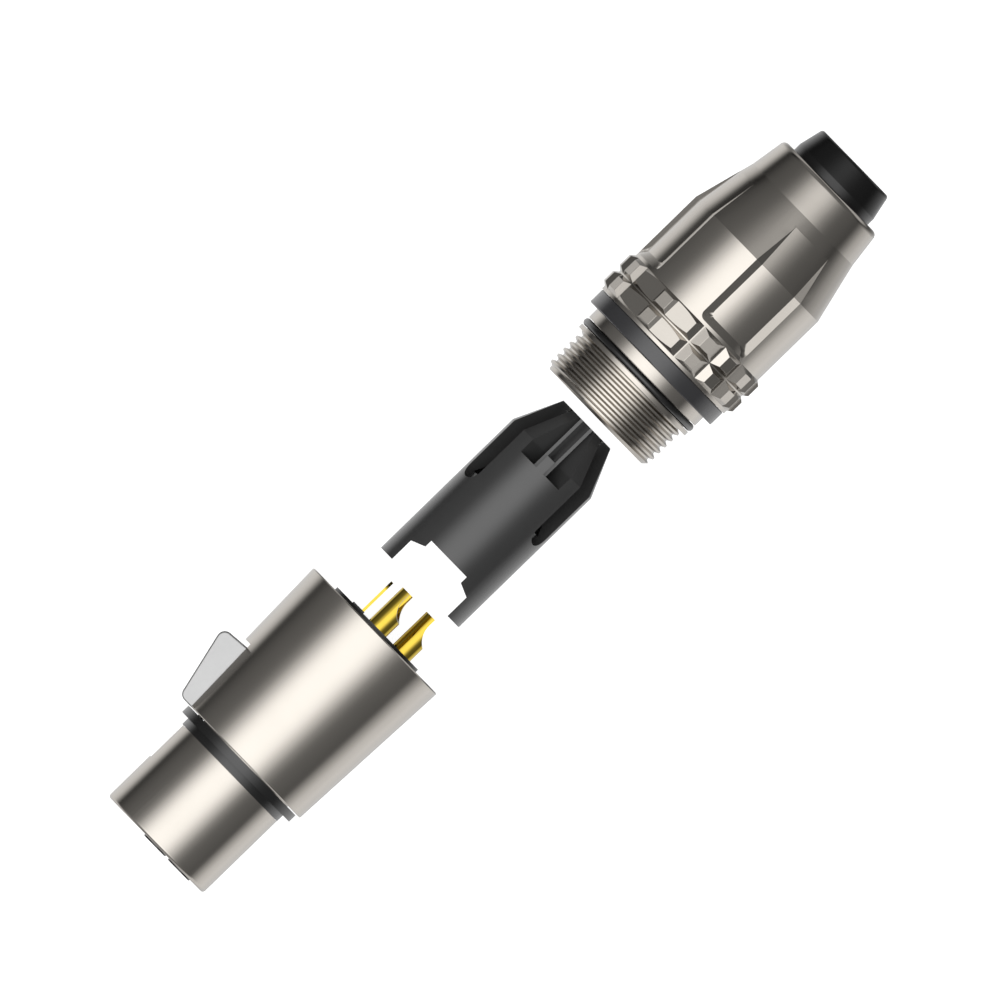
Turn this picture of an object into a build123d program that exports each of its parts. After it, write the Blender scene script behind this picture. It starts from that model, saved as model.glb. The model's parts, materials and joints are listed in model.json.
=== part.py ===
from build123d import *
import os
from math import cos, radians, sin

# Three-pole female cable connector, drawn apart along its axis.
# Units are millimetres. The axis is X: x = 0 is the front edge of the mating barrel,
# and x grows towards the cable. +Y is the latch side. The connector lies on its side.

# Clearances
seat_gap = 0.02
slide_gap = 0.05
boot_gap = 0.12
thread_gap = 0.07
lever_gap = 0.17

# Mating face and contacts
barrel_radius = 7.9
barrel_wall = 1.15
barrel_edge_radius = 0.4
contact_circle_radius = 3.97
contact_radius = 1.415
socket_bore_radius = 1.2
socket_front_x = 1.3
socket_depth = 12.0
socket_slit_length = 8.0
socket_slit_width = 0.3

# Housing shell
seal_groove_x = 12.03
seal_groove_depth = 0.35
shoulder_x = 14.2
shoulder_radius = 9.5
shoulder_chamfer = 0.1
shell_length = 35.73
shell_rear_radius = 10.27
shell_rear_chamfer = 0.15
thread_length = 6.0
counterbore_depth = 3.13

# Rubber seals of the housing
seal_lip_length = 0.95
seal_lip_height = 0.02
seal_rim_radius = 8.94
seal_end_gap = 0.12
face_seal_thickness = 0.8
collar_radius = 1.75
collar_height = 0.2
collar_edge_radius = 0.1

# Insert and its retainer
insert_length = 32.8
retainer_length = 2.5
contact_collar_radius = 1.8
contact_collar_length = 1.0
tag_block_bottom = 2.4
tag_block_top = 4.2
tag_block_height = 0.2
tag_block_width = 3.75

# Solder cups, measured from the retainer's rear face
cup_length = 5.45
cup_bore_radius = 1.1
cup_floor_depth = 0.68
cup_cut_depth = 1.88
cup_half_depth = 4.48
cup_turn = 12

# Ground tag
tag_thickness = 0.35
tag_width = 2.5
tag_y = 2.66
tag_length = 4.98
tag_toe_lap = 1.2
tag_end_radius = 1.15
tag_hole_radius = 0.6
tag_hole_edge = 0.6
tag_bend_radius = 0.1

# Latch
slot_half_width = 3.97
slot_end_x = 24.2
window_x = 6.8
window_half_width = 1.6
latch_heel_x = 23.34
latch_heel_slope = 0.09
latch_front_x = 14.17
latch_front_height = 10.49
latch_rear_height = 12.73
latch_foot_height = 6.6
latch_front_edge_radius = 0.95
latch_rear_edge_radius = 1.0
latch_side_edge_radius = 0.25
arm_half_width = 1.4
arm_bottom = 6.5
arm_top = 7.35
hook_x = 6.95
hook_length = 2.3
hook_top = 7.7
pivot_x = 21.6
pivot_y = 8.1
pin_radius = 0.5
pin_gap = 0.06
pin_near_z = 4.35
pin_far_z = 5.35
latch_flat_y = 5.35

# Spring under the latch
spring_x = 17.0
spring_radius = 1.05
spring_wire = 0.32
spring_pitch = 1.05
spring_pocket_radius = 1.35
spring_pocket_y = 2.6
spring_seat_y = 7.4

# Cable chuck
chuck_apart = 6.82
chuck_length = 27.2
chuck_radius = 6.5
chuck_wall = 1.0
chuck_cone_x = 21.5
chuck_nose_radius = 3.93
chuck_nose_bore_radius = 2.9
chuck_cup_x = 14.0
chuck_throat_x = 19.0
finger_turns = (0, 120, 240)
chuck_slot_width = 3.1
chuck_slot_x = 12.9
prong_half_width = 4.63
prong_length = 3.09
prong_root_half_width = 2.95
prong_slope_x = 3.80
prong_root_x = 4.77
key_pocket_x = 19.5
key_pocket_slope = 1.06
key_block_x = 21.4
rib_width = 0.39
rib_offset = 0.79
rib_top_radius = 3.8
rib_height = 0.4
tooth_count = 2
tooth_pitch = 0.6
tooth_height = 0.3

# Boot
boot_apart = 44.67
thread_front = 8.89
thread_root_radius = 7.8
thread_height = 0.48
thread_chamfer = 0.15
thread_end = 3.01
land_radius = 8.85
land_length = 0.56
ring_groove_length = 1.09
o_ring_section = 1.0
o_ring_proud = 0.15
boot_bore_radius = 6.85
boot_radius = 10.18
boot_cone_x = 17.34
boot_neck_x = 24.83
boot_neck_radius = 8.3
boot_end_x = 29.37
boot_end_radius = 7.65
boot_end_edge_radius = 0.75
bore_cone_x = 21.4
bore_cone_end_x = 24.8
bore_cone_end_radius = 5.3

# Flange gasket
gasket_thickness = 2.05
gasket_radius = 10.03
gasket_edge_radius = 0.15

# Grip lugs: turn in degrees and radius, repeated three times round the boot
lug_radius = 10.75
lug_dip_radius = 10.35
valley_sink = 0.06
lug_rows = ((2.5, 4.86), (5.04, 7.56))
lug_row_slope = 0.45
grip_repeats = 3
saw_start = -52.6
saw_profile = (
    (0.0, boot_radius - valley_sink),
    (3.6, lug_radius),
    (23.6, lug_dip_radius),
    (25.6, lug_radius),
    (34.0, lug_radius),
    (36.6, lug_dip_radius),
    (54.8, lug_radius),
)
# Valley, start of the crest and end of the crest of each tooth
teeth = (
    (7.7, 13.8, 21.2),
    (28.0, 33.7, 41.8),
    (47.6, 53.8, 62.8),
)

# Milled pockets of the boot
pocket_count = 4
pocket_span = 45.3
pocket_front_x = 7.98
pocket_floor_x = 8.96
pocket_depth = 0.57
pocket_lean = 1.56
pocket_rise = 0.35
pocket_tip_x = 23.31
pocket_tip_turn = 3.4
pocket_corner_radius = 0.6

# Cable gland
gland_pocket_x = 25.1
gland_radius = 6.13
gland_rim_radius = 6.55
gland_rim_x = 25.5
gland_rim_length = 1.2
gland_cone_x = 30.35
gland_end_x = 33.38
gland_end_radius = 5.45
gland_edge_radius = 0.45
gland_bore_radius = 4.0
gland_mouth_radius = 5.2
gland_mouth_depth = 2.6

# Sizes that follow from the ones above
bore_radius = barrel_radius - barrel_wall
seal_groove_radius = barrel_radius - seal_groove_depth
thread_crest_radius = thread_root_radius + thread_height
thread_bore_radius = thread_crest_radius + thread_gap
o_ring_radius = land_radius + o_ring_proud
counterbore_radius = o_ring_radius + slide_gap
counterbore_x = shell_length - counterbore_depth
thread_bore_x = counterbore_x - thread_length
insert_radius = bore_radius - slide_gap
insert_front_x = face_seal_thickness
insert_rear_x = insert_front_x + insert_length
retainer_front_x = insert_rear_x + seat_gap
retainer_rear_x = retainer_front_x + retainer_length
retainer_radius = boot_bore_radius - boot_gap
contact_hole_radius = contact_radius + seat_gap
collar_pocket_radius = contact_collar_radius + slide_gap
tag_half_width = tag_width / 2
tag_slot_half_width = tag_half_width + slide_gap
tag_end_x = retainer_rear_x + tag_length
tag_toe_x = thread_bore_x - tag_toe_lap
cup_end_x = retainer_rear_x + cup_length
cup_floor_x = retainer_rear_x + cup_floor_depth
cup_cut_start = retainer_rear_x + cup_cut_depth
cup_cut_half = retainer_rear_x + cup_half_depth
chuck_x = retainer_rear_x + chuck_apart
boot_x = shell_length + boot_apart
contact_places = (
    (0, contact_circle_radius),
    (0, -contact_circle_radius),
    (-contact_circle_radius, 0),
)
cup_turns = (cup_turn, -cup_turn, 0)
outside = 2 * shell_rear_radius


def across(x, y=0, z=0):
    """Plane square to the connector's axis, with +Y to its right and +Z up."""
    return Plane(origin=(x, y, z), x_dir=(0, 1, 0), z_dir=(1, 0, 0))


def polar(radius, turn):
    """Point on a plane across the axis; turn starts at +Z and grows towards -Y."""
    return (-radius * sin(radians(turn)), radius * cos(radians(turn)))


def corner_at(sketch, x, y):
    """The corner of a flat sketch that lies nearest to a point."""
    return sketch.vertices().sort_by_distance((x, y, 0))[0]


# Housing shell: one turned profile, then the latch slot, its window and the pin hole
with BuildPart() as housing_shell:
    with BuildSketch(Plane.XY) as shell_profile:
        with BuildLine():
            Polyline(
                (0, bore_radius),
                (0, barrel_radius),
                (seal_groove_x, barrel_radius),
                (seal_groove_x, seal_groove_radius),
                (shoulder_x, seal_groove_radius),
                (shoulder_x, shoulder_radius),
                (shell_length, shell_rear_radius),
                (shell_length, counterbore_radius),
                (counterbore_x, counterbore_radius),
                (counterbore_x, thread_bore_radius),
                (thread_bore_x, thread_bore_radius),
                (thread_bore_x, bore_radius),
                close=True,
            )
        make_face()
        fillet(corner_at(shell_profile, 0, barrel_radius), barrel_edge_radius)
        chamfer(corner_at(shell_profile, shoulder_x, shoulder_radius), shoulder_chamfer)
        chamfer(corner_at(shell_profile, shell_length, shell_rear_radius), shell_rear_chamfer)
    revolve(axis=Axis.X)
    slot_start_x = latch_front_x - lever_gap
    with BuildSketch(Plane.XY):
        with Locations((slot_start_x, 0)):
            Rectangle(slot_end_x - slot_start_x, outside, align=(Align.MIN, Align.MIN))
    extrude(amount=slot_half_width, both=True, mode=Mode.SUBTRACT)
    with BuildSketch(Plane.XY):
        with Locations((window_x, 0)):
            Rectangle(shoulder_x - window_x, outside, align=(Align.MIN, Align.MIN))
    extrude(amount=window_half_width, both=True, mode=Mode.SUBTRACT)
    with BuildSketch(Plane.XY.offset(pin_near_z + slide_gap)):
        with Locations((pivot_x, pivot_y)):
            Circle(pin_radius + seat_gap)
    extrude(amount=-outside, mode=Mode.SUBTRACT)
housing_shell.part.label = "housing_shell"

# Shoulder seal: a thin lip on the barrel and a taller rim behind it
seal_front_x = seal_groove_x + seat_gap
seal_step_x = seal_front_x + seal_lip_length
seal_rear_x = shoulder_x - seal_end_gap
with BuildPart() as shoulder_seal:
    with BuildSketch(Plane.XY):
        with BuildLine():
            Polyline(
                (seal_front_x, seal_groove_radius + seat_gap),
                (seal_front_x, barrel_radius + seal_lip_height),
                (seal_step_x, barrel_radius + seal_lip_height),
                (seal_step_x, seal_rim_radius),
                (seal_rear_x, seal_rim_radius),
                (seal_rear_x, seal_groove_radius + seat_gap),
                close=True,
            )
        make_face()
    revolve(axis=Axis.X)
shoulder_seal.part.label = "shoulder_seal"

# Face seal: a disc in the mouth with a raised collar round each socket
with BuildPart() as face_seal:
    with BuildSketch(across(0)):
        Circle(insert_radius)
    extrude(amount=face_seal_thickness - seat_gap)
    with BuildSketch(across(0)):
        with Locations(*contact_places):
            Circle(collar_radius)
    extrude(amount=-collar_height)
    fillet(face_seal.edges().group_by(Axis.X)[0], collar_edge_radius)
    with BuildSketch(across(-collar_height)):
        with Locations(*contact_places):
            Circle(socket_bore_radius)
    extrude(amount=collar_height + face_seal_thickness, mode=Mode.SUBTRACT)
face_seal.part.label = "face_seal"

# Insert: contact holes, a flat for the latch, a spring pocket and the groove of the ground tag
tag_top_y = insert_radius - 0.5 * tag_thickness + slide_gap
tag_run_y = tag_top_y - tag_thickness
tag_leg_rear_x = insert_rear_x
tag_leg_front_x = tag_leg_rear_x - tag_thickness
with BuildPart() as contact_insert:
    with BuildSketch(across(insert_front_x)):
        Circle(insert_radius)
    extrude(amount=insert_length)
    with BuildSketch(across(insert_front_x)):
        with Locations(*contact_places):
            Circle(socket_bore_radius)
    extrude(amount=insert_length, mode=Mode.SUBTRACT)
    with BuildSketch(across(socket_front_x - slide_gap)):
        with Locations(*contact_places):
            Circle(contact_hole_radius)
    extrude(amount=insert_length, mode=Mode.SUBTRACT)
    with BuildSketch(across(insert_rear_x - contact_collar_length - slide_gap)):
        with Locations(*contact_places):
            Circle(collar_pocket_radius)
    extrude(amount=contact_collar_length + slide_gap, mode=Mode.SUBTRACT)
    with BuildSketch(Plane.XY):
        with Locations((window_x, latch_flat_y)):
            Rectangle(slot_end_x - window_x, outside, align=(Align.MIN, Align.MIN))
    extrude(amount=insert_radius, both=True, mode=Mode.SUBTRACT)
    with BuildSketch(Plane.XZ.offset(-spring_pocket_y)):
        with Locations((spring_x, 0)):
            Circle(spring_pocket_radius)
    extrude(amount=-insert_radius, mode=Mode.SUBTRACT)
    with BuildSketch(Plane.XY):
        with Locations((tag_toe_x - slide_gap, tag_run_y - slide_gap)):
            Rectangle(insert_rear_x - tag_toe_x + slide_gap, outside, align=(Align.MIN, Align.MIN))
        with Locations((tag_leg_front_x - slide_gap, tag_y - tag_thickness / 2 - slide_gap)):
            Rectangle(tag_thickness + slide_gap, outside, align=(Align.MIN, Align.MIN))
    extrude(amount=tag_slot_half_width, both=True, mode=Mode.SUBTRACT)
contact_insert.part.label = "contact_insert"

# Retainer: traps the contacts and the ground tag, and faces the chuck
with BuildPart() as insert_retainer:
    with BuildSketch(across(retainer_front_x)):
        Circle(retainer_radius)
    extrude(amount=retainer_length)
    with BuildSketch(across(retainer_rear_x)):
        with Locations((tag_block_bottom, 0)):
            Rectangle(
                tag_block_top - tag_block_bottom,
                tag_block_width,
                align=(Align.MIN, Align.CENTER),
            )
    extrude(amount=tag_block_height)
    with BuildSketch(across(retainer_front_x)):
        with Locations(*contact_places):
            Circle(contact_hole_radius)
        with Locations((tag_y, 0)):
            Rectangle(tag_thickness + 2 * slide_gap, tag_width + 2 * slide_gap)
    extrude(amount=retainer_length + tag_block_height, mode=Mode.SUBTRACT)
insert_retainer.part.label = "insert_retainer"


def make_contact(place, turn):
    """Turned contact: split socket in front, collar, and a solder cup cut open behind."""
    y, z = place
    collar_x = insert_rear_x - contact_collar_length
    lean = radians(turn)
    cup_plane = Plane(origin=(0, y, z), x_dir=(1, 0, 0), z_dir=(0, sin(lean), cos(lean)))
    with BuildPart() as contact:
        with BuildSketch(across(socket_front_x, y, z)):
            Circle(contact_radius)
        extrude(amount=cup_end_x - socket_front_x)
        with BuildSketch(across(collar_x, y, z)):
            Circle(contact_collar_radius)
        extrude(amount=contact_collar_length - seat_gap)
        with BuildSketch(across(socket_front_x, y, z)):
            Circle(socket_bore_radius)
        extrude(amount=socket_depth, mode=Mode.SUBTRACT)
        with BuildSketch(across(socket_front_x, y, z)):
            Rectangle(socket_slit_width, 2 * contact_radius)
        extrude(amount=socket_slit_length, mode=Mode.SUBTRACT)
        with BuildSketch(across(cup_floor_x, y, z)):
            Circle(cup_bore_radius)
        extrude(amount=cup_end_x - cup_floor_x, mode=Mode.SUBTRACT)
        with BuildSketch(cup_plane):
            with BuildLine():
                TangentArc(
                    (cup_cut_half, 0),
                    (cup_cut_start, -contact_collar_radius),
                    tangent=(-1, 0),
                )
                Polyline(
                    (cup_cut_start, -contact_collar_radius),
                    (cup_end_x + contact_radius, -contact_collar_radius),
                    (cup_end_x + contact_radius, 0),
                    (cup_cut_half, 0),
                )
            make_face()
        extrude(amount=contact_collar_radius, both=True, mode=Mode.SUBTRACT)
    return contact.part


contacts = {}
for number, place in enumerate(contact_places, start=1):
    contact_part = make_contact(place, cup_turns[number - 1])
    contact_part.label = f"contact_{number}"
    contacts[contact_part.label] = contact_part

# Ground tag: one folded strip, from the soldering eye to the shell's bore
with BuildPart() as ground_tag:
    with BuildSketch(Plane.XY) as tag_profile:
        with BuildLine():
            Polyline(
                (tag_end_x, tag_y - tag_thickness / 2),
                (tag_leg_front_x, tag_y - tag_thickness / 2),
                (tag_leg_front_x, tag_run_y),
                (tag_toe_x, tag_run_y),
                (tag_toe_x, tag_top_y),
                (tag_leg_rear_x, tag_top_y),
                (tag_leg_rear_x, tag_y + tag_thickness / 2),
                (tag_end_x, tag_y + tag_thickness / 2),
                close=True,
            )
        make_face()
        bends = tag_profile.vertices().filter_by_position(
            Axis.X, tag_leg_front_x - seat_gap, tag_leg_rear_x + seat_gap
        )
        fillet(bends, tag_bend_radius)
    extrude(amount=tag_half_width, both=True)
    end_edges = ground_tag.edges().filter_by(Axis.Y).group_by(Axis.X)[-1]
    fillet(end_edges, tag_end_radius)
    tag_eye_x = tag_end_x - tag_hole_edge - tag_hole_radius
    with BuildSketch(Plane.XZ.offset(-tag_y + tag_thickness)):
        with Locations((tag_eye_x, 0)):
            Circle(tag_hole_radius)
    extrude(amount=-2 * tag_thickness, mode=Mode.SUBTRACT)
ground_tag.part.label = "ground_tag"

# Latch pin: crosses the slot and sits in the shell at both ends
with BuildPart() as latch_pin:
    with BuildSketch(Plane.XY.offset(-pin_far_z)):
        with Locations((pivot_x, pivot_y)):
            Circle(pin_radius)
    extrude(amount=pin_far_z + pin_near_z)
latch_pin.part.label = "latch_pin"

# Latch spring: a round wire wound up from the insert's pocket to the lever
spring_height = spring_seat_y - spring_pocket_y - spring_wire - 2 * seat_gap
with BuildPart() as latch_spring:
    with BuildLine() as spring_path:
        Helix(
            pitch=spring_pitch,
            height=spring_height,
            radius=spring_radius,
            center=(spring_x, spring_pocket_y + spring_wire / 2 + seat_gap, 0),
            direction=(0, 1, 0),
        )
    spring_start = spring_path.line @ 0
    spring_heading = spring_path.line % 0
    with BuildSketch(Plane(origin=spring_start, z_dir=spring_heading)):
        Circle(spring_wire / 2)
    sweep(path=spring_path.line, is_frenet=True)
latch_spring.part.label = "latch_spring"

# Latch lever: thumb tab in the slot, and an arm that carries the hook under the seal
latch_half_width = slot_half_width - lever_gap
latch_foot_x = latch_heel_x + latch_heel_slope * (latch_rear_height - latch_foot_height)
with BuildPart() as latch_lever:
    with BuildSketch(Plane.XY) as tab_profile:
        with BuildLine():
            Polyline(
                (latch_front_x, latch_foot_height),
                (latch_front_x, latch_front_height),
                (latch_heel_x, latch_rear_height),
                (latch_foot_x, latch_foot_height),
                close=True,
            )
        make_face()
        fillet(corner_at(tab_profile, latch_front_x, latch_front_height), latch_front_edge_radius)
        fillet(corner_at(tab_profile, latch_heel_x, latch_rear_height), latch_rear_edge_radius)
    extrude(amount=latch_half_width, both=True)
    side_faces = latch_lever.faces().filter_by(Axis.Z)
    side_edges = side_faces.edges().filter_by_position(Axis.Y, shoulder_radius, outside)
    fillet(side_edges, latch_side_edge_radius)
    with BuildSketch(Plane.XY):
        with BuildLine():
            Polyline(
                (hook_x, arm_bottom),
                (hook_x, hook_top - (arm_top - arm_bottom) / 2),
                (hook_x + (arm_top - arm_bottom) / 2, hook_top),
                (hook_x + hook_length, hook_top),
                (hook_x + hook_length, arm_top),
                (latch_front_x + slide_gap, arm_top),
                (latch_front_x + slide_gap, arm_bottom),
                close=True,
            )
        make_face()
    extrude(amount=arm_half_width, both=True)
    with BuildSketch(Plane.XY.offset(-latch_half_width)):
        with Locations((pivot_x, pivot_y)):
            Circle(pin_radius + pin_gap)
    extrude(amount=2 * latch_half_width, mode=Mode.SUBTRACT)
    with BuildSketch(Plane.XZ.offset(-arm_bottom)):
        with Locations((spring_x, 0)):
            Circle(spring_pocket_radius)
    extrude(amount=arm_bottom - spring_seat_y, mode=Mode.SUBTRACT)
latch_lever.part.label = "latch_lever"

# Cutter for the outside of one finger of the chuck, about +Z: two pockets with leaning
# floors, two low ribs between them and the groove behind the key block
finger_end_x = chuck_x + chuck_length
pocket_x = chuck_x + key_pocket_x
pocket_foot_z = rib_top_radius - rib_height
rib_inside = rib_offset - rib_width / 2
rib_outside = rib_offset + rib_width / 2
pocket_reach = (outside - pocket_foot_z) / key_pocket_slope
with BuildPart() as finger_cutter:
    with BuildSketch(across(pocket_x)):
        with BuildLine():
            Polyline(
                (rib_outside, pocket_foot_z),
                (rib_outside + pocket_reach, outside),
                (rib_outside, outside),
                close=True,
            )
        make_face()
        mirror(about=Plane.YZ)
    extrude(amount=chuck_length)
    strips = (
        (key_pocket_x, rib_offset, rib_width, rib_top_radius),
        (key_pocket_x, -rib_offset, rib_width, rib_top_radius),
        (key_block_x, 0, 2 * rib_inside, pocket_foot_z),
    )
    for strip_x, strip_y, strip_width, strip_z in strips:
        with BuildSketch(across(chuck_x + strip_x)):
            with Locations((strip_y, strip_z)):
                Rectangle(strip_width, outside, align=(Align.CENTER, Align.MIN))
        extrude(amount=chuck_length)

# Cable chuck: prongs in front, and three fingers whose nose the boot closes on the cable
chuck_bore_radius = chuck_radius - chuck_wall
tooth_line = [
    (finger_end_x - tooth_pitch * step / 2, chuck_nose_bore_radius - tooth_height * (step % 2))
    for step in range(2 * tooth_count + 1)
]
with BuildPart() as cable_chuck:
    with BuildSketch(Plane.XY):
        with BuildLine():
            Polyline(
                (chuck_x, chuck_bore_radius),
                (chuck_x, chuck_radius),
                (chuck_x + chuck_cone_x, chuck_radius),
                (finger_end_x, chuck_nose_radius),
                *tooth_line,
                (chuck_x + chuck_throat_x, chuck_nose_bore_radius),
                (chuck_x + chuck_cup_x, chuck_bore_radius),
                close=True,
            )
        make_face()
    revolve(axis=Axis.X)
    with BuildSketch(Plane.XY):
        with BuildLine():
            edge = Polyline(
                (chuck_x, 0),
                (chuck_x, prong_half_width),
                (chuck_x + prong_length, prong_half_width),
                (chuck_x + prong_slope_x, prong_root_half_width),
                (chuck_x + prong_root_x, prong_root_half_width),
                (chuck_x + prong_root_x, 0),
            )
            mirror(edge, about=Plane.XZ)
        make_face()
    extrude(amount=outside, both=True, mode=Mode.SUBTRACT)
    for turn in finger_turns:
        add(finger_cutter.part.rotate(Axis.X, turn), mode=Mode.SUBTRACT)
        slot_y, slot_z = polar(1, turn + 180 / len(finger_turns))
        slot_plane = Plane(origin=(chuck_x, 0, 0), x_dir=(1, 0, 0), z_dir=(0, slot_y, slot_z))
        with BuildSketch(slot_plane):
            with Locations((chuck_slot_x + chuck_slot_width / 2, 0)):
                Circle(chuck_slot_width / 2)
                Rectangle(chuck_length, chuck_slot_width, align=(Align.MIN, Align.CENTER))
        extrude(amount=outside, mode=Mode.SUBTRACT)
cable_chuck.part.label = "cable_chuck"

# Flange gasket: a flat ring on the boot's hub
with BuildPart() as flange_gasket:
    with BuildSketch(across(boot_x)):
        Circle(gasket_radius)
        Circle(land_radius + boot_gap, mode=Mode.SUBTRACT)
    extrude(amount=gasket_thickness - seat_gap)
    outer_edges = flange_gasket.edges().filter_by(GeomType.CIRCLE).sort_by(SortBy.RADIUS)[-2:]
    fillet(outer_edges, gasket_edge_radius)
flange_gasket.part.label = "flange_gasket"

# Grip ring: the outline of the lugs across the axis, met by two bevelled rows along it
grip_period = 360 / grip_repeats
grip_outline = []
for repeat in range(grip_repeats):
    start = repeat * grip_period
    for turn, radius in saw_profile:
        grip_outline.append(polar(radius, start + saw_start + turn))
    for valley, crest_start, crest_end in teeth:
        grip_outline.append(polar(boot_radius - valley_sink, start + valley))
        grip_outline.append(polar(lug_radius, start + crest_start))
        grip_outline.append(polar(lug_radius, start + crest_end))
with BuildPart() as grip_ring:
    with BuildSketch(across(boot_x)):
        with BuildLine():
            Polyline(*grip_outline, close=True)
        make_face()
    extrude(amount=boot_cone_x)
    with BuildSketch(Plane.XY):
        for row_start, row_end in lug_rows:
            with BuildLine():
                Polyline(
                    (boot_x + row_start, land_radius),
                    (boot_x + row_start, boot_radius),
                    (boot_x + row_start + lug_row_slope, lug_radius),
                    (boot_x + row_end - lug_row_slope, lug_radius),
                    (boot_x + row_end, boot_radius),
                    (boot_x + row_end, land_radius),
                    close=True,
                )
            make_face()
    revolve(axis=Axis.X, mode=Mode.INTERSECT)


def wall_point(lip_radius, lip_turn, height, side):
    """Point on a pocket's leaning side wall, at a height above (or below) its lip."""
    turn = side * (lip_turn - pocket_span / 2)
    lip_y, lip_z = polar(lip_radius, turn)
    out_y, out_z = polar(1, turn)
    along_y, along_z = polar(1, turn + 90)
    reach = -height * pocket_lean * side
    return (lip_y + height * out_y + reach * along_y, lip_z + height * out_z + reach * along_z)


# Cutter of one milled pocket, about +Z: a stepped floor between two walls that lean outwards
cone_slope = (boot_radius - boot_neck_radius) / (boot_neck_x - boot_cone_x)
tip_radius = boot_radius - cone_slope * (pocket_tip_x - boot_cone_x)
run_out = (boot_neck_x - boot_cone_x) / (pocket_tip_x - boot_cone_x)
past_radius = boot_radius + (tip_radius - boot_radius) * run_out
past_depth = pocket_depth * (1 - run_out)
pocket_sections = (
    (pocket_front_x, boot_radius, 0, 0),
    (pocket_floor_x, boot_radius, 0, pocket_depth),
    (boot_cone_x, boot_radius, 0, pocket_depth),
    (boot_neck_x, past_radius, pocket_tip_turn * run_out, past_depth),
)
hip_x = boot_x + (pocket_front_x + pocket_floor_x) / 2
hip_reach = (pocket_floor_x - pocket_front_x) / 4
with BuildPart() as pocket_cutter:
    for x, lip_radius, lip_turn, depth in pocket_sections:
        floor_a = wall_point(lip_radius, lip_turn, -depth, 1)
        floor_b = wall_point(lip_radius, lip_turn, -depth, -1)
        top_a = wall_point(lip_radius, lip_turn, pocket_rise, 1)
        top_b = wall_point(lip_radius, lip_turn, pocket_rise, -1)
        floor_radius = Vector(*floor_a).length
        top_radius = Vector(*top_a).length
        with BuildSketch(across(boot_x + x)):
            with BuildLine():
                ThreePointArc(floor_a, polar(floor_radius, 0), floor_b)
                Line(floor_b, top_b)
                ThreePointArc(top_b, polar(top_radius, 0), top_a)
                Line(top_a, floor_a)
            make_face()
    loft(ruled=True)
    ramp_edges = pocket_cutter.edges().filter_by_position(Axis.X, hip_x - hip_reach, hip_x + hip_reach)
    floor_hips = ramp_edges.sort_by(Axis.Z)[:2]
    fillet(floor_hips, pocket_corner_radius)

# Boot shell: a turned body with the thread's core, O-ring groove, grip ring and pockets
ring_groove_x = thread_end - land_length
ring_groove_radius = o_ring_radius - o_ring_section
gland_pocket_radius = gland_radius + slide_gap
rim_groove_radius = gland_rim_radius + slide_gap
with BuildPart() as boot_shell:
    with BuildSketch(Plane.XY) as boot_profile:
        with BuildLine():
            Polyline(
                (boot_x - thread_front, boot_bore_radius),
                (boot_x - thread_front, thread_root_radius - thread_chamfer),
                (boot_x - thread_front + thread_chamfer, thread_root_radius),
                (boot_x - thread_end, thread_root_radius),
                (boot_x - thread_end, land_radius),
                (boot_x - ring_groove_x, land_radius),
                (boot_x - ring_groove_x, ring_groove_radius),
                (boot_x - ring_groove_x + ring_groove_length, ring_groove_radius),
                (boot_x - ring_groove_x + ring_groove_length, land_radius),
                (boot_x + gasket_thickness, land_radius),
                (boot_x + gasket_thickness, boot_radius),
                (boot_x + boot_cone_x, boot_radius),
                (boot_x + boot_neck_x, boot_neck_radius),
                (boot_x + boot_end_x, boot_end_radius),
                (boot_x + boot_end_x, gland_pocket_radius),
                (boot_x + gland_rim_x + gland_rim_length, gland_pocket_radius),
                (boot_x + gland_rim_x + gland_rim_length, rim_groove_radius),
                (boot_x + gland_rim_x, rim_groove_radius),
                (boot_x + gland_rim_x, gland_pocket_radius),
                (boot_x + gland_pocket_x, gland_pocket_radius),
                (boot_x + gland_pocket_x, bore_cone_end_radius),
                (boot_x + bore_cone_end_x, bore_cone_end_radius),
                (boot_x + bore_cone_x, boot_bore_radius),
                close=True,
            )
        make_face()
        fillet(corner_at(boot_profile, boot_x + boot_end_x, boot_end_radius), boot_end_edge_radius)
    revolve(axis=Axis.X)
    add(grip_ring.part)
    for pocket in range(pocket_count):
        pocket_turn = pocket * 360 / pocket_count + pocket_span / 2
        add(pocket_cutter.part.rotate(Axis.X, pocket_turn), mode=Mode.SUBTRACT)
boot_shell.part.label = "boot_shell"

# O-ring in the boot's groove
o_ring_x = boot_x - ring_groove_x + ring_groove_length / 2
with BuildPart() as boot_o_ring:
    with BuildSketch(Plane.XY):
        with Locations((o_ring_x, o_ring_radius - o_ring_section / 2)):
            Circle(o_ring_section / 2 - seat_gap)
    revolve(axis=Axis.X)
boot_o_ring.part.label = "boot_o_ring"

# Cable gland: snaps into the boot's end, with a cone seat for the chuck's nose
gland_front_x = gland_pocket_x + slide_gap
gland_rim_front_x = gland_rim_x + slide_gap
gland_rim_rear_x = gland_rim_x + gland_rim_length - slide_gap
with BuildPart() as cable_gland:
    with BuildSketch(Plane.XY) as gland_profile:
        with BuildLine():
            Polyline(
                (boot_x + gland_front_x, gland_mouth_radius),
                (boot_x + gland_front_x, gland_radius),
                (boot_x + gland_rim_front_x, gland_radius),
                (boot_x + gland_rim_front_x, gland_rim_radius),
                (boot_x + gland_rim_rear_x, gland_rim_radius),
                (boot_x + gland_rim_rear_x, gland_radius),
                (boot_x + gland_cone_x, gland_radius),
                (boot_x + gland_end_x, gland_end_radius),
                (boot_x + gland_end_x, gland_bore_radius),
                (boot_x + gland_front_x + gland_mouth_depth, gland_bore_radius),
                close=True,
            )
        make_face()
        fillet(corner_at(gland_profile, boot_x + gland_end_x, gland_end_radius), gland_edge_radius)
    revolve(axis=Axis.X)
cable_gland.part.label = "cable_gland"

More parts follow.
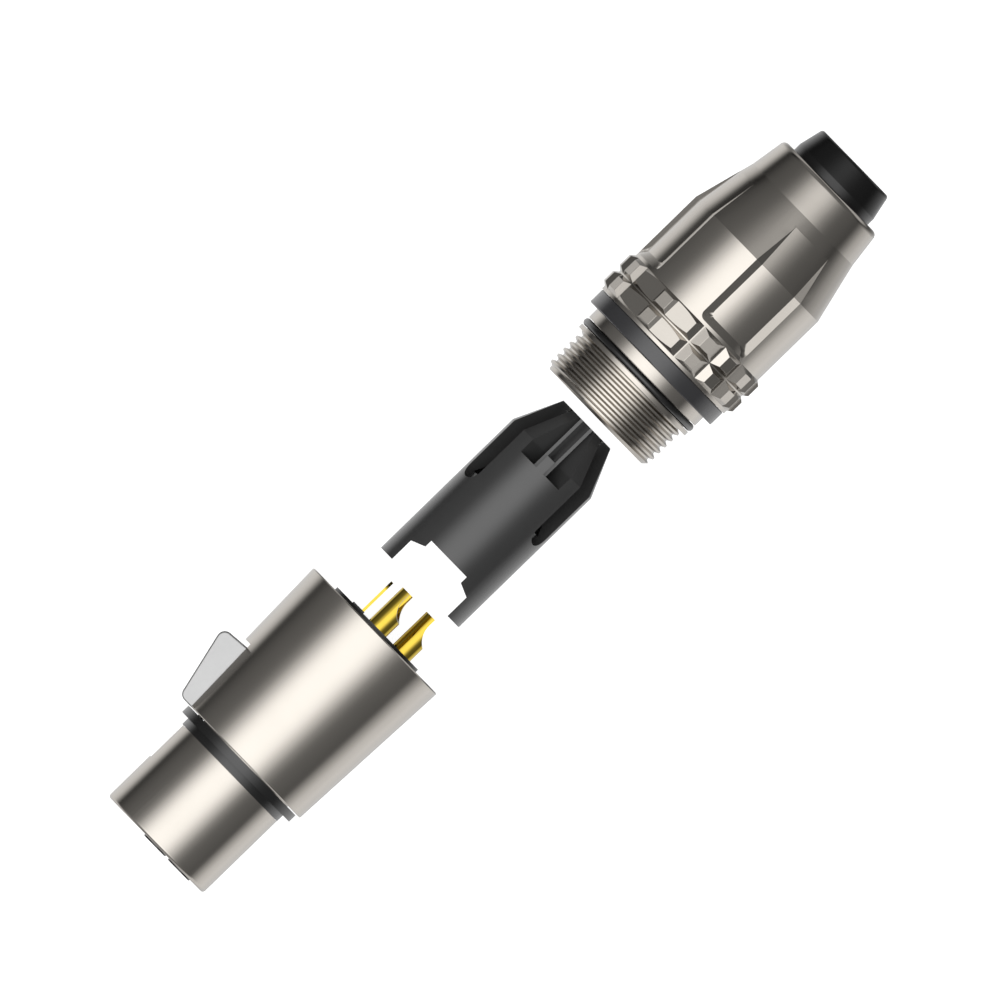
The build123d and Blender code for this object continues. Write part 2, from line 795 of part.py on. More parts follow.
# Write one file for each piece
os.makedirs("parts", exist_ok=True)
pieces = [
    housing_shell,
    shoulder_seal,
    face_seal,
    contact_insert,
    insert_retainer,
    ground_tag,
    latch_pin,
    latch_spring,
    latch_lever,
    cable_chuck,
    flange_gasket,
    boot_shell,
    boot_o_ring,
    cable_gland,
]
for piece in pieces:
    export_step(piece.part, f"parts/{piece.part.label}.step")
for name, contact_part in contacts.items():
    export_step(contact_part, f"parts/{name}.step")
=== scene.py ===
# %% [markdown]
# # A three-pole cable connector, drawn apart on its axis
# The solids come from the CAD model and are loaded as a fixed frame. This file gives them
# their finishes, rounds the edges that catch the light, cuts the screw thread that the CAD
# leaves plain, and sets up a small studio. Everything is in metres, and the connector's
# axis is X, with the cable end at the far side.

# %% Load the frame
import json
from math import atan2, cos, degrees, radians, sin, tau

import bmesh
import bpy
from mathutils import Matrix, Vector
from mathutils.bvhtree import BVHTree
from mathutils.interpolate import poly_3d_calc


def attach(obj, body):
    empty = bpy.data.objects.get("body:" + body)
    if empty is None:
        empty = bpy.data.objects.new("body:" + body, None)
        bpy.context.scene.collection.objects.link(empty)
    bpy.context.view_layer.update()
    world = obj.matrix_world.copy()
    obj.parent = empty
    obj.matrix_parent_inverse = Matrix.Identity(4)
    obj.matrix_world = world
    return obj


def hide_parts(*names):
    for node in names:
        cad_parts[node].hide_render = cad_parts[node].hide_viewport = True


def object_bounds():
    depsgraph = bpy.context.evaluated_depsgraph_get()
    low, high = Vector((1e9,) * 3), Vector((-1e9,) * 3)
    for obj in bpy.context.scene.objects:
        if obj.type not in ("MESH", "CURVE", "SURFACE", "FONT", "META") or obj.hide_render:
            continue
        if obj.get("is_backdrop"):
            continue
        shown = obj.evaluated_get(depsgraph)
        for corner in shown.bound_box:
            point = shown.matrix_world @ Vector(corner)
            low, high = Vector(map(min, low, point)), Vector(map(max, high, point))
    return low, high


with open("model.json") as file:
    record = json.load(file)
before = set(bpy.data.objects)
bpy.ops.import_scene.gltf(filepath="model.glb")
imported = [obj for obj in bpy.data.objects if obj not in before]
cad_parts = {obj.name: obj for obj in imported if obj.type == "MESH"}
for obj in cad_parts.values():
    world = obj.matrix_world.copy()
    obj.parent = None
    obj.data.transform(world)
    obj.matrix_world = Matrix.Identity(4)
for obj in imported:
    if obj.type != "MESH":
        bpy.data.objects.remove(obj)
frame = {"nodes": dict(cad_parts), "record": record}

cad_box = [list(corner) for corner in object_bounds()]
MM = 0.001
print("CAD box in mm:", [[round(value / MM, 2) for value in corner] for corner in cad_box])

# %% [markdown]
# ## An empty studio
# Blender starts with a cube, a lamp and a camera. They go first.

# %% Clear the start-up objects
scene = bpy.context.scene
for name in ("Cube", "Light", "Camera"):
    if name in bpy.data.objects:
        bpy.data.objects.remove(bpy.data.objects[name])
scene.view_settings.view_transform = "Standard"

# %% [markdown]
# ## Three helpers for materials
# Colours are written as sRGB hex values, as a paint card gives them. The shader works with
# linear light, so one function turns the first into the second. The next adds one node
# with its settings and links, so that each material reads as a short list of nodes. The
# last starts a material with the shader that every finish here uses.


# %% Colour and node helpers
def linear(code):
    """The linear RGBA of an sRGB hex value."""
    parts = [int(code[place:place + 2], 16) / 255 for place in (1, 3, 5)]
    light = [p / 12.92 if p <= 0.04045 else ((p + 0.055) / 1.055) ** 2.4 for p in parts]
    return light + [1.0]


def add_node(tree, kind, settings=(), **inputs):
    """A node with its settings, and its inputs set to a value or linked to a socket.

    An input is named as in Blender, with _ for a space, or _ and its number.
    """
    node = tree.nodes.new("ShaderNode" + kind)
    for name, value in dict(settings).items():
        setattr(node, name, value)
    for name, value in inputs.items():
        number = name[1:]
        socket = node.inputs[int(number) if number.isdigit() else name.replace("_", " ")]
        if isinstance(value, bpy.types.NodeSocket):
            tree.links.new(value, socket)
        else:
            socket.default_value = value
    return node


def new_material(name, **shader_inputs):
    """A material with one Principled shader: the material, its tree and the shader."""
    material = bpy.data.materials.new(name)
    material.use_nodes = True
    tree = material.node_tree
    tree.nodes.clear()
    shader = add_node(tree, "BsdfPrincipled", **shader_inputs)
    add_node(tree, "OutputMaterial", Surface=shader.outputs[0])
    return material, tree, shader


# %% [markdown]
# ## Nickel plate over a turned body
# The shells are turned, tumbled and plated with nickel: a warm grey metal with a soft
# mirror. A flat metal would look like chrome paint, so three small things are added: the
# last turning marks, which run round the axis 0.16 mm apart; a plating grain of about
# 0.3 mm that makes the gloss uneven; and a trace of colour drift. Real turning marks are
# finer than a pixel, so they are drawn this coarse to show at all, and very shallow.

# %% Satin nickel
TURNING_PITCH = 0.16 * MM
TURNING_LENGTH = 25 * MM
TURNING_DEPTH = 0.004 * MM
PLATING_GRAIN = 0.3 * MM
PLATING_DRIFT = 6 * MM


def nickel(name, colour, dark_colour, roughness, spread, marks):
    """Nickel plate: marks is how strongly the turning lines show in the bump."""
    material, tree, shader = new_material(name, Metallic=1.0)
    place = add_node(tree, "TexCoord").outputs["Object"]
    drift = add_node(tree, "TexNoise", Vector=place, Scale=1 / PLATING_DRIFT, Detail=3.0)
    tint = add_node(
        tree, "Mix", {"data_type": "RGBA"},
        Factor=drift.outputs["Fac"], _6=linear(colour), _7=linear(dark_colour),
    )
    tree.links.new(tint.outputs[2], shader.inputs["Base Color"])
    grain = add_node(tree, "TexNoise", Vector=place, Scale=1 / PLATING_GRAIN, Detail=2.0)
    gloss = add_node(
        tree, "MapRange",
        Value=grain.outputs["Fac"], _3=roughness - spread, _4=roughness + spread,
    )
    tree.links.new(gloss.outputs[0], shader.inputs["Roughness"])
    stretched = add_node(
        tree, "Mapping",
        Vector=place, Scale=(1 / TURNING_PITCH, 1 / TURNING_LENGTH, 1 / TURNING_LENGTH),
    )
    lines = add_node(tree, "TexNoise", Vector=stretched.outputs[0], Scale=1.0, Detail=1.0)
    bump = add_node(
        tree, "Bump", Height=lines.outputs["Fac"], Strength=marks, Distance=TURNING_DEPTH,
    )
    tree.links.new(bump.outputs[0], shader.inputs["Normal"])
    return material


shell_metal = nickel("satin_nickel_shell", "#B6B1AA", "#B0ABA4", 0.17, 0.02, 0.15)
latch_metal = nickel("satin_nickel_latch", "#AFAFAF", "#A9A9A9", 0.42, 0.03, 0.10)
print("materials:", shell_metal.name, latch_metal.name)

# %% [markdown]
# ## Gold plate on the contacts
# Gold over nickel over a copper alloy: deep yellow, smoother than the shells because the
# layer is thin and bright. Small dull patches come from the barrel plating.

# %% Gold
GOLD_PATCH = 1.2 * MM
GOLD_GLOSS = (0.05, 0.09)
gold, tree, shader = new_material("gold_plate", Metallic=1.0)
place = add_node(tree, "TexCoord").outputs["Object"]
patches = add_node(tree, "TexNoise", Vector=place, Scale=1 / GOLD_PATCH, Detail=4.0)
tint = add_node(
    tree, "Mix", {"data_type": "RGBA"},
    Factor=patches.outputs["Fac"], _6=linear("#BEA642"), _7=linear("#B49A38"),
)
tree.links.new(tint.outputs[2], shader.inputs["Base Color"])
gloss = add_node(
    tree, "MapRange", Value=patches.outputs["Fac"], _3=GOLD_GLOSS[0], _4=GOLD_GLOSS[1],
)
tree.links.new(gloss.outputs[0], shader.inputs["Roughness"])
print("material:", gold.name)

# %% [markdown]
# ## Spring steel
# The pin and the spring under the latch are drawn wire: bright, a little blue, with the
# die's fine marks. They are hardly seen, so one noise in the gloss is enough.

# %% Wire
DRAWING_GRAIN = 0.4 * MM
WIRE_GLOSS = (0.18, 0.32)
wire, tree, shader = new_material(
    "drawn_spring_steel", Metallic=1.0, Base_Color=linear("#B9BABD"),
)
place = add_node(tree, "TexCoord").outputs["Object"]
grain = add_node(tree, "TexNoise", Vector=place, Scale=1 / DRAWING_GRAIN, Detail=3.0)
gloss = add_node(
    tree, "MapRange", Value=grain.outputs["Fac"], _3=WIRE_GLOSS[0], _4=WIRE_GLOSS[1],
)
tree.links.new(gloss.outputs[0], shader.inputs["Roughness"])
print("material:", wire.name)

# %% [markdown]
# ## Moulded rubber and plastic
# Seals, gasket, gland, insert and chuck all come out of a mould, and what tells them
# apart is the mould's own surface. So one recipe makes them all: a base colour with a
# faint cloud of filler, and the grain of a spark-eroded mould in bump and gloss. The
# grain is a few hundredths of a millimetre on the real parts and is drawn coarser here,
# so that it shows.

# %% Moulded finishes
FILLER_CLOUD = 3 * MM
GRAIN_STRENGTH = 0.3


def moulded(name, colour, cloud_colour, ior, roughness, spread, grain_size, depth):
    """A moulded surface: grain_size in metres, depth as the height of the bump."""
    material, tree, shader = new_material(name, IOR=ior)
    place = add_node(tree, "TexCoord").outputs["Object"]
    cloud = add_node(tree, "TexNoise", Vector=place, Scale=1 / FILLER_CLOUD, Detail=4.0)
    tint = add_node(
        tree, "Mix", {"data_type": "RGBA"},
        Factor=cloud.outputs["Fac"], _6=linear(colour), _7=linear(cloud_colour),
    )
    tree.links.new(tint.outputs[2], shader.inputs["Base Color"])
    grain = add_node(tree, "TexNoise", Vector=place, Scale=1 / grain_size, Detail=2.0)
    gloss = add_node(
        tree, "MapRange",
        Value=grain.outputs["Fac"], _3=roughness - spread, _4=roughness + spread,
    )
    tree.links.new(gloss.outputs[0], shader.inputs["Roughness"])
    bump = add_node(
        tree, "Bump", Height=grain.outputs["Fac"], Strength=GRAIN_STRENGTH, Distance=depth,
    )
    tree.links.new(bump.outputs[0], shader.inputs["Normal"])
    return material


seal_rubber = moulded(
    "smooth_black_rubber", "#121212", "#161616", 1.64, 0.24, 0.03, 0.15 * MM, 0.004 * MM,
)
gland_rubber = moulded(
    "matt_black_rubber", "#0C0C0C", "#111111", 1.47, 0.23, 0.04, 0.18 * MM, 0.008 * MM,
)
gasket_rubber = moulded(
    "grey_gasket", "#323234", "#373739", 1.62, 0.22, 0.03, 0.15 * MM, 0.004 * MM,
)
insert_plastic = moulded(
    "black_insert_nylon", "#1E1E1E", "#222222", 1.55, 0.34, 0.03, 0.15 * MM, 0.006 * MM,
)
chuck_plastic = moulded(
    "grey_chuck_nylon", "#373737", "#3C3C3C", 1.59, 0.19, 0.03, 0.15 * MM, 0.005 * MM,
)

# %% [markdown]
# ## Give each piece its finish
# The record that comes with the frame names a slot for each piece and the body that it
# rides on. Each slot gets its material here, and both lists are used again below, when a
# copy takes the place of a CAD piece.

# %% Slots and bodies
finishes = {
    "nickel_plate": shell_metal,
    "latch_metal": latch_metal,
    "seal_rubber": seal_rubber,
    "gland_rubber": gland_rubber,
    "gasket_rubber": gasket_rubber,
    "insert_plastic": insert_plastic,
    "chuck_plastic": chuck_plastic,
    "gold_plate": gold,
    "spring_steel": wire,
}
slot_of = {part["node"]: part["material_slot"] for part in frame["record"]["subparts"]}
body_of = {
    node: body
    for body, nodes in frame["record"]["behaviour"]["bodies"].items()
    for node in nodes
}
for node, slot in slot_of.items():
    for material_slot in frame["nodes"][node].material_slots:
        material_slot.material = finishes[slot]
    print(node, "has", finishes[slot].name)

# %% [markdown]
# ## Normals for polished metal
# The next step merges the CAD's triangles, and that loses the exact normals that the CAD
# gave each corner. They could be guessed again from the faces, but polished metal shows
# the guess as smears. So they are looked up on the CAD mesh: a tree of its triangles
# finds the nearest one, and its three corners are blended at that point.


# %% Look up the CAD's normals
def normal_finder(source):
    """A function that gives the CAD's own normal at a point of its surface."""
    triangles = [tuple(face.vertices) for face in source.polygons]
    points = [vertex.co.copy() for vertex in source.vertices]
    corner_normals = [corner.vector.copy() for corner in source.corner_normals]
    first_corner = [face.loop_start for face in source.polygons]
    surface = BVHTree.FromPolygons(points, triangles)

    def normal_at(place):
        nearest, _, index, _ = surface.find_nearest(place)
        weights = poly_3d_calc([points[corner] for corner in triangles[index]], nearest)
        start = first_corner[index]
        blend = sum(
            (corner_normals[start + step] * weights[step] for step in range(3)), Vector(),
        )
        return blend.normalized()

    return normal_at


# %% [markdown]
# ## Broken edges
# No machined or moulded edge is truly sharp: it is broken by a few hundredths of a
# millimetre, and that thin round strip is what draws a bright or dark line round each
# face. The CAD leaves these edges sharp, so each rigid piece is copied, its loose
# triangles are merged into clean faces, and the sharp edges get a small round bevel.
# Each corner then gets the CAD's normal from a hair inside it, and only the bevels blend
# between their neighbours. A copy may be reshaped before the bevel. Where a reshaped face
# has turned well away from the CAD, it keeps its own normal.

# %% Round the sharp edges of a copy
MERGE_DISTANCE = 0.0001 * MM
FLAT_ANGLE = 0.3
SHARP_ANGLE = 35
RESHAPED_ANGLE = 20
SLIVER_AREA = 0.00001 * MM * MM
INSIDE = 0.01 * MM


def corner_vectors(bm, strips, normal_at, reshaped):
    """The normal of every face corner, in mesh order."""
    corners = {}
    for face in bm.faces:
        if face not in strips:
            for corner in face.loops:
                corners[corner] = normal_at(corner.vert.co + corner.calc_tangent() * INSIDE)
    for face in bm.faces:
        if reshaped and face not in strips and face.calc_area() > SLIVER_AREA:
            for corner in face.loops:
                if corners[corner].dot(face.normal) < cos(radians(RESHAPED_ANGLE)):
                    corners[corner] = face.normal.copy()
    normals = []
    for face in bm.faces:
        for corner in face.loops:
            beside = [corners[loop] for loop in corner.vert.link_loops if loop in corners]
            blended = sum(beside, Vector()) if beside else corner.vert.normal
            normals.append(corners.get(corner, blended.normalized()))
    return normals


def edge_broken(node, size, reshape=None):
    """Put a copy with its sharp edges rounded to size, in metres, in a CAD node's place."""
    source = frame["nodes"][node].data
    bm = bmesh.new()
    bm.from_mesh(source)
    bmesh.ops.remove_doubles(bm, verts=bm.verts, dist=MERGE_DISTANCE)
    bmesh.ops.dissolve_limit(
        bm, angle_limit=radians(FLAT_ANGLE), verts=bm.verts, edges=bm.edges,
        delimit={"NORMAL"},
    )
    if reshape:
        reshape(bm)
    sharp = [
        edge for edge in bm.edges
        if len(edge.link_faces) == 2 and edge.calc_face_angle() > radians(SHARP_ANGLE)
    ]
    bevel = bmesh.ops.bevel(
        bm, geom=sharp, offset=size, offset_type="OFFSET", affect="EDGES", segments=2,
        profile=0.5, material=-1, clamp_overlap=True,
    )
    bm.normal_update()
    normals = corner_vectors(bm, set(bevel["faces"]), normal_finder(source), bool(reshape))
    mesh = bpy.data.meshes.new(node + "_finished")
    bm.to_mesh(mesh)
    bm.free()
    mesh.shade_smooth()
    mesh.normals_split_custom_set(normals)
    mesh.materials.append(finishes[slot_of[node]])
    piece = bpy.data.objects.new(node + "_finished", mesh)
    scene.collection.objects.link(piece)
    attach(piece, body_of[node])
    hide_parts(node)
    print(node, "edges rounded:", len(sharp), "faces:", len(mesh.polygons))


edge_broken("housing_shell", 0.05 * MM)
edge_broken("latch_lever", 0.08 * MM)

# %% [markdown]
# ## The boot's milled pockets
# The four pockets have round front corners, as the cutter leaves them. The CAD rounds
# them by only 0.3 mm. On the copy, the points near each corner slide out along the edges
# of the pocket, at its lip and at its floor, and that widens the arc. Each pocket fills
# one quarter's first 45.3 degrees, so one corner's rule serves all eight.

# %% Round the front corners of the pockets
BOOT_X = 80.40 * MM
QUARTER = 90
POCKET_SPAN = 45.3
LIP_X = BOOT_X + 7.98 * MM
LIP_RADIUS = 10.18 * MM
FLOOR_X = BOOT_X + 8.96 * MM
FLOOR_RADIUS = 9.651 * MM
FLOOR_TURN = 5.285
CAD_ARC = 0.3 * MM
ROUND_ARC = 0.85 * MM
SLIDE_END = 3.0 * MM
SPARE_TURN = 1
SPARE_DEPTH = 0.02
SPARE_DISTANCE = 0.01 * MM


def widened(distance):
    """The new distance from the corner, so that the arc there grows and the rest stays."""
    if distance < CAD_ARC:
        return distance * ROUND_ARC / CAD_ARC
    share = (distance - CAD_ARC) / (SLIDE_END - CAD_ARC)
    return distance if share > 1 else ROUND_ARC + share * (SLIDE_END - ROUND_ARC)


def round_pockets(bm):
    """Widen the arc at both front corners of each pocket."""
    slid = 0
    for vertex in bm.verts:
        radius = vertex.co.yz.length
        depth = (LIP_RADIUS - radius) / (LIP_RADIUS - FLOOR_RADIUS)
        turn = degrees(atan2(-vertex.co.y, vertex.co.z))
        quarter, turn = divmod(turn + SPARE_TURN, QUARTER)
        turn -= SPARE_TURN
        far_side = turn > POCKET_SPAN / 2
        inward = POCKET_SPAN - turn if far_side else turn
        along = vertex.co.x - LIP_X - depth * (FLOOR_X - LIP_X)
        across = radians(inward - depth * FLOOR_TURN) * radius
        in_wall = -SPARE_DEPTH < depth < 1 + SPARE_DEPTH
        if not in_wall or min(along, across) < -SPARE_DISTANCE or along > SLIDE_END:
            continue
        inward += degrees((widened(across) - across) / radius)
        turn = radians(quarter * QUARTER + (POCKET_SPAN - inward if far_side else inward))
        new_x = vertex.co.x + widened(along) - along
        vertex.co = (new_x, -radius * sin(turn), radius * cos(turn))
        slid += 1
    print("pocket points slid:", slid)


edge_broken("boot_shell", 0.04 * MM, round_pockets)

# %% [markdown]
# ## The chuck's grooves
# The chuck has a groove between the two ribs of each finger. Its floor is flat in the CAD,
# and on the real part it sinks to the middle, so that it stays dark between the ribs. The
# floor of the copy is cut along its middle, and that line is let down.

# %% Sink the chuck's three grooves
GROOVE_FRONT = 64.3 * MM
GROOVE_FLOOR = 3.4 * MM
GROOVE_SINK = 0.32 * MM
FINGER_TURNS = (0, 120, 240)
LEVEL_COSINE = 0.999


def sink_grooves(bm):
    """Turn each flat groove floor into a shallow V."""
    for turn in FINGER_TURNS:
        outward = Vector((0, -sin(radians(turn)), cos(radians(turn))))
        floors = [
            face for face in bm.faces
            if face.normal.dot(outward) > LEVEL_COSINE
            and abs(face.calc_center_median().dot(outward) - GROOVE_FLOOR) < SPARE_DISTANCE
            and face.calc_center_median().x > GROOVE_FRONT
        ]
        edges = {edge for face in floors for edge in face.edges}
        cut = bmesh.ops.bisect_plane(
            bm, geom=floors + list(edges), plane_co=(0, 0, 0),
            plane_no=outward.cross((1, 0, 0)),
        )
        middle = [item for item in cut["geom_cut"] if isinstance(item, bmesh.types.BMVert)]
        for vertex in middle:
            vertex.co -= outward * GROOVE_SINK
        print("groove at", turn, "degrees, points let down:", len(middle))


edge_broken("cable_chuck", 0.05 * MM, sink_grooves)

# %% [markdown]
# ## The boot's screw thread
# The boot screws into the housing with a fine thread: 1 mm pitch, narrow crests and
# narrow roots. The CAD gives only its core, so the ridge is made here. A profile of one
# ridge, sunk a little into the core, is spun round the axis while it moves forward one
# pitch a turn, which is what a thread is. The coil is longer than the threaded length.

# %% Wind the ridge
THREAD_FRONT = BOOT_X - 8.89 * MM
THREAD_REAR = BOOT_X - 3.01 * MM
FIRST_CREST = BOOT_X - 7.98 * MM
PITCH = 1.0 * MM
ROOT_RADIUS = 7.80 * MM
CREST_RADIUS = 8.28 * MM
SUNK = 0.05 * MM
STEPS_A_TURN = 96
TURNS = 8
LEAD_TURNS = 2
ridge = (
    (-0.43 * MM, ROOT_RADIUS - SUNK),
    (-0.39 * MM, ROOT_RADIUS),
    (-0.13 * MM, CREST_RADIUS),
    (0.13 * MM, CREST_RADIUS),
    (0.39 * MM, ROOT_RADIUS),
    (0.43 * MM, ROOT_RADIUS - SUNK),
)
start_x = FIRST_CREST - LEAD_TURNS * PITCH
bm = bmesh.new()
profile = [bm.verts.new((start_x + along, radius, 0)) for along, radius in ridge]
bm.edges.new((profile[-1], profile[0]))
for first, second in zip(profile, profile[1:]):
    bm.edges.new((first, second))
bmesh.ops.spin(
    bm, geom=bm.verts[:] + bm.edges[:], cent=(0, 0, 0), axis=(1, 0, 0),
    dvec=(PITCH / STEPS_A_TURN, 0, 0), angle=TURNS * tau, steps=TURNS * STEPS_A_TURN,
    use_duplicate=False,
)
print("coil faces:", len(bm.faces), "turns:", TURNS)

# %% [markdown]
# Two planes cut the coil to the threaded length, and each cut is closed. A lathe also
# chamfers the front end, which is done by holding each point under a 45 degree cone. The
# front plane lies where that cone is just outside the sunk foot of the ridge, because a
# cut nearer to the end would be squeezed to nothing.

# %% Cut and chamfer the ends
CHAMFER = 0.15 * MM
RIDGE_FRONT = THREAD_FRONT + 0.12 * MM
for plane_x, outward in ((RIDGE_FRONT, -1), (THREAD_REAR, 1)):
    cut = bmesh.ops.bisect_plane(
        bm, geom=bm.verts[:] + bm.edges[:] + bm.faces[:], plane_co=(plane_x, 0, 0),
        plane_no=(outward, 0, 0), clear_outer=True,
    )
    rim = [item for item in cut["geom_cut"] if isinstance(item, bmesh.types.BMEdge)]
    bmesh.ops.holes_fill(bm, edges=rim, sides=0)
for vertex in bm.verts:
    radius = Vector((0, vertex.co.y, vertex.co.z)).length
    limit = ROOT_RADIUS - CHAMFER + (vertex.co.x - THREAD_FRONT)
    if radius > limit:
        vertex.co.yz = vertex.co.yz * (limit / radius)
bmesh.ops.recalc_face_normals(bm, faces=bm.faces)

# %% [markdown]
# The coil is smooth along its turns, and only the edges of its crests and roots are
# sharp. So every edge over 30 degrees is marked, and the rest is shaded smooth.

# %% Put the thread on the boot
CREST_ANGLE = 30
mesh = bpy.data.meshes.new("boot_thread")
bm.to_mesh(mesh)
bm.free()
mesh.shade_smooth()
mesh.set_sharp_from_angle(angle=radians(CREST_ANGLE))
mesh.materials.append(shell_metal)
boot_thread = bpy.data.objects.new("boot_thread", mesh)
scene.collection.objects.link(boot_thread)
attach(boot_thread, "boot")
print("thread faces:", len(mesh.polygons))

# %% [markdown]
# ## Floor
# The connector lies on a plain pale sheet. The camera has to see a white ground, so the
# sheet adds a little light of its own for camera rays only, and its diffuse part still
# takes the shadow. Mirror rays pass through it and find the sheet's glow in the world,
# where it has no edge.

# %% Pale floor
FLOOR_Z = cad_box[0][2]
FLOOR_MIDDLE = 50 * MM
FLOOR_REACH = 1500 * MM
SHEET_WHITE = 0.86
bm = bmesh.new()
bmesh.ops.create_grid(bm, x_segments=1, y_segments=1, size=FLOOR_REACH)
bmesh.ops.translate(bm, verts=bm.verts, vec=(FLOOR_MIDDLE, 0, FLOOR_Z))
mesh = bpy.data.meshes.new("floor")
bm.to_mesh(mesh)
bm.free()
floor = bpy.data.objects.new("floor", mesh)
scene.collection.objects.link(floor)
floor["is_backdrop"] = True
floor.visible_glossy = False
floor.visible_transmission = False
print("floor at z in mm:", round(FLOOR_Z / MM, 2))

# %% [markdown]
# White paper is a plain diffuse surface. Its own light is multiplied by Is Camera Ray, so
# it lightens the picture and lights nothing else.

# %% White paper
paper = bpy.data.materials.new("white_paper")
paper.use_nodes = True
tree = paper.node_tree
tree.nodes.clear()
rays = add_node(tree, "LightPath").outputs
seen = add_node(
    tree, "Math", {"operation": "MULTIPLY"}, _0=rays["Is Camera Ray"], _1=SHEET_WHITE,
)
diffuse = add_node(tree, "BsdfDiffuse", Color=linear("#D2D2D2"))
glow = add_node(tree, "Emission", Color=linear("#FFFFFF"), Strength=seen.outputs[0])
sheet = add_node(tree, "AddShader", _0=diffuse.outputs[0], _1=glow.outputs[0])
add_node(tree, "OutputMaterial", Surface=sheet.outputs[0])
mesh.materials.append(paper)

# %% [markdown]
# ## Light
# One large soft box hangs over the connector, a little towards its front end. It is
# written as a gradient on the world: bright round the lamp, falling off to a dim room at
# the horizon. A gradient has no edge to show in the metal, and no noise. It is a table of
# angles and strengths, which a colour ramp turns into light.


# %% A ramp over any range, from a list of places and strengths
def strength_ramp(tree, value, full, places):
    """Strength against a value, as (value, strength) pairs in rising order."""
    low, high = places[0][0], places[-1][0]
    share = add_node(tree, "MapRange", Value=value, _1=low, _2=high)
    ramp = add_node(tree, "ValToRGB", Fac=share.outputs[0])
    stops = ramp.color_ramp.elements
    stops.remove(stops[1])
    stops[0].position = 0
    stops[0].color = [places[0][1] / full] * 3 + [1]
    for place, strength in places[1:]:
        stops.new((place - low) / (high - low)).color = [strength / full] * 3 + [1]
    return ramp.outputs["Color"]


# %% [markdown]
# The lamp's strength hangs on the angle between a direction and the lamp. The dot product
# gives the cosine of that angle, so the table is turned into cosines.

# %% Soft box
LAMP_TILT_FRONT = 15
LAMP_TILT_LATCH = 4
LAMP_FULL = 2.3
lamp_fall = (
    (180, 0), (104, 0), (97, 0.08), (90, 0.14), (80, 0.18), (66, 0.21), (58, 0.25),
    (52, 0.36), (46, 0.52), (41, 0.85), (35, 1.2), (30, 1.6), (22, 2.1), (14, 2.3),
    (0, 2.3),
)
lamp_direction = Vector(
    (-sin(radians(LAMP_TILT_FRONT)), sin(radians(LAMP_TILT_LATCH)), 1),
).normalized()
world = bpy.data.worlds.new("studio")
world.use_nodes = True
scene.world = world
tree = world.node_tree
tree.nodes.clear()
direction = add_node(tree, "TexCoord").outputs["Generated"]
toward_lamp = add_node(
    tree, "VectorMath", {"operation": "DOT_PRODUCT"}, _0=direction, _1=lamp_direction,
)
lamp = strength_ramp(
    tree, toward_lamp.outputs["Value"], LAMP_FULL,
    [(cos(radians(angle)), strength) for angle, strength in lamp_fall],
)
print("lamp direction:", [round(value, 3) for value in lamp_direction])

# %% [markdown]
# ## Glow of the sheet
# Below the horizon mirror rays find the lit sheet: full under the connector, and fading
# out to the side, slowly away from the latch and quickly on the latch side. Round metal
# shows that fade as the soft dark line between its lit top and its bright rim. The glow
# is given by the angle round the connector's axis, from the zenith: minus is away from
# the latch, plus is the latch side. Two dim cards stand at the ends of the studio, so that
# faces that lean along the axis don't turn black.

# %% Glow round the axis
GLOW_FULL = 1.2
glow_away = (
    (-180, 0.60), (-165, 0.76), (-150, 0.94), (-140, 1.06), (-130, 1.20), (-122, 1.15),
    (-113, 1.12), (-105, 0.88), (-100, 0.70), (-96, 0.50), (-92, 0.30), (-86, 0), (180, 0),
)
glow_latch = (
    (-180, 0), (90, 0), (98, 0.01), (108, 0.04), (114, 0.31), (118.5, 0.60), (124, 0.88),
    (131, 1.08), (142, 1.10), (150, 1.0), (165, 0.86), (180, 0.75),
)
cards = (
    (-180, 0), (-120, 0.06), (-100, 0.08), (-75, 0.13), (-50, 0.18), (-28, 0.22),
    (0, 0.25), (60, 0.25), (100, 0.2), (120, 0), (180, 0),
)
axes = add_node(tree, "SeparateXYZ", Vector=direction).outputs
around = add_node(
    tree, "Math", {"operation": "ARCTAN2"}, _0=axes["Y"], _1=axes["Z"],
).outputs[0]
ring_away, ring_latch, ring_cards = (
    strength_ramp(
        tree, around, GLOW_FULL, [(radians(angle), strength) for angle, strength in table],
    )
    for table in (glow_away, glow_latch, cards)
)

# %% [markdown]
# Each light also has a table of how it fades along the axis, from -1 at the front end to
# 1 at the cable end. The lamp and the glow fade towards the cable end, so that tapered
# and rounded ends turn darker, and the cards are there only for steep directions. Light
# adds up, so each is a background of its own, and all of them are added.

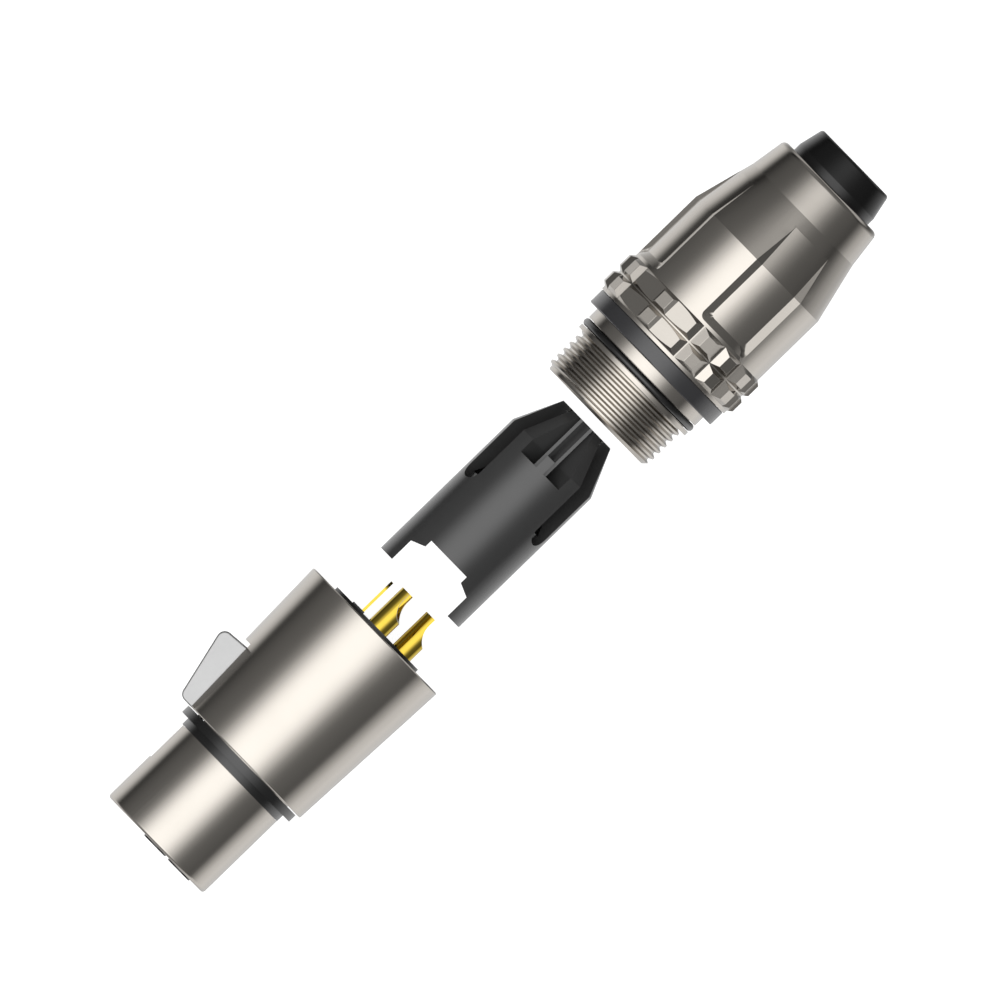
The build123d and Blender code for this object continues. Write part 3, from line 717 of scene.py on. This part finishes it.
# %% Fades along the axis
lamp_along = (
    (-1, 0.1), (-0.8, 0.3), (-0.68, 1), (0.05, 1), (0.28, 0.79), (0.42, 0.93), (0.58, 0.9),
    (0.66, 0.3), (0.75, 0.1), (1, 0.05),
)
away_along = (
    (-1, 0.7), (-0.6, 0.9), (-0.2, 1), (0.07, 1), (0.156, 0.7), (0.283, 0.44),
    (0.48, 0.12), (0.56, 0.15), (0.68, 0.6), (1, 0.7),
)
latch_along = (
    (-1, 0.7), (-0.6, 0.9), (-0.2, 1), (0.13, 1), (0.27, 0.74), (0.36, 0.52),
    (0.45, 0.35), (0.56, 0.25), (0.68, 0.6), (1, 0.7),
)
cards_along = (
    (-1, 1), (-0.66, 1), (-0.58, 0), (0.6, 0), (0.68, 1), (0.87, 1), (1, 0.8),
)
room = None
for ring, full, fade in (
    (lamp, LAMP_FULL, lamp_along),
    (ring_away, GLOW_FULL, away_along),
    (ring_latch, GLOW_FULL, latch_along),
    (ring_cards, GLOW_FULL, cards_along),
):
    faded = add_node(
        tree, "VectorMath", {"operation": "MULTIPLY"},
        _0=ring, _1=strength_ramp(tree, axes["X"], 1, fade),
    )
    light = add_node(tree, "Background", Color=faded.outputs["Vector"], Strength=full)
    light = light.outputs[0]
    room = add_node(tree, "AddShader", _0=room, _1=light).outputs[0] if room else light
print("lights on the world:", sum(node.type == "BACKGROUND" for node in tree.nodes))

# %% [markdown]
# ## White for the camera
# The camera itself sees plain white beyond the floor.

# %% Join the world
rays = add_node(tree, "LightPath").outputs
white = add_node(tree, "Background", Color=linear("#FFFFFF"), Strength=1.0)
choice = add_node(
    tree, "MixShader", _0=rays["Is Camera Ray"], _1=room, _2=white.outputs[0],
)
add_node(tree, "OutputWorld", Surface=choice.outputs[0])

# %% [markdown]
# ## Camera
# The picture is a straight side view, so the camera is orthographic and looks straight
# down on the lying connector. It is turned so that the axis climbs to the upper right.

# %% Place the camera
VIEW_WIDTH = 116.45 * MM
VIEW_CENTRE = (56.75 * MM, 0.78 * MM)
VIEW_HEIGHT = 400 * MM
VIEW_TURN = -44.23
camera_data = bpy.data.cameras.new("camera")
camera_data.type = "ORTHO"
camera_data.ortho_scale = VIEW_WIDTH
camera = bpy.data.objects.new("camera", camera_data)
camera.location = (*VIEW_CENTRE, VIEW_HEIGHT)
camera.rotation_euler = (0, 0, radians(VIEW_TURN))
scene.collection.objects.link(camera)
scene.camera = camera
print("view width in mm:", round(VIEW_WIDTH / MM, 2))

# %% [markdown]
# ## Sizes
# The box round everything is written beside the box of the CAD alone. The finished copies
# and the thread have to stay inside it.

# %% Sizes and the end
visual_box = [list(corner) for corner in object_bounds()]
print(
    "visual box in mm:",
    [[round(value / MM, 2) for value in corner] for corner in visual_box],
)
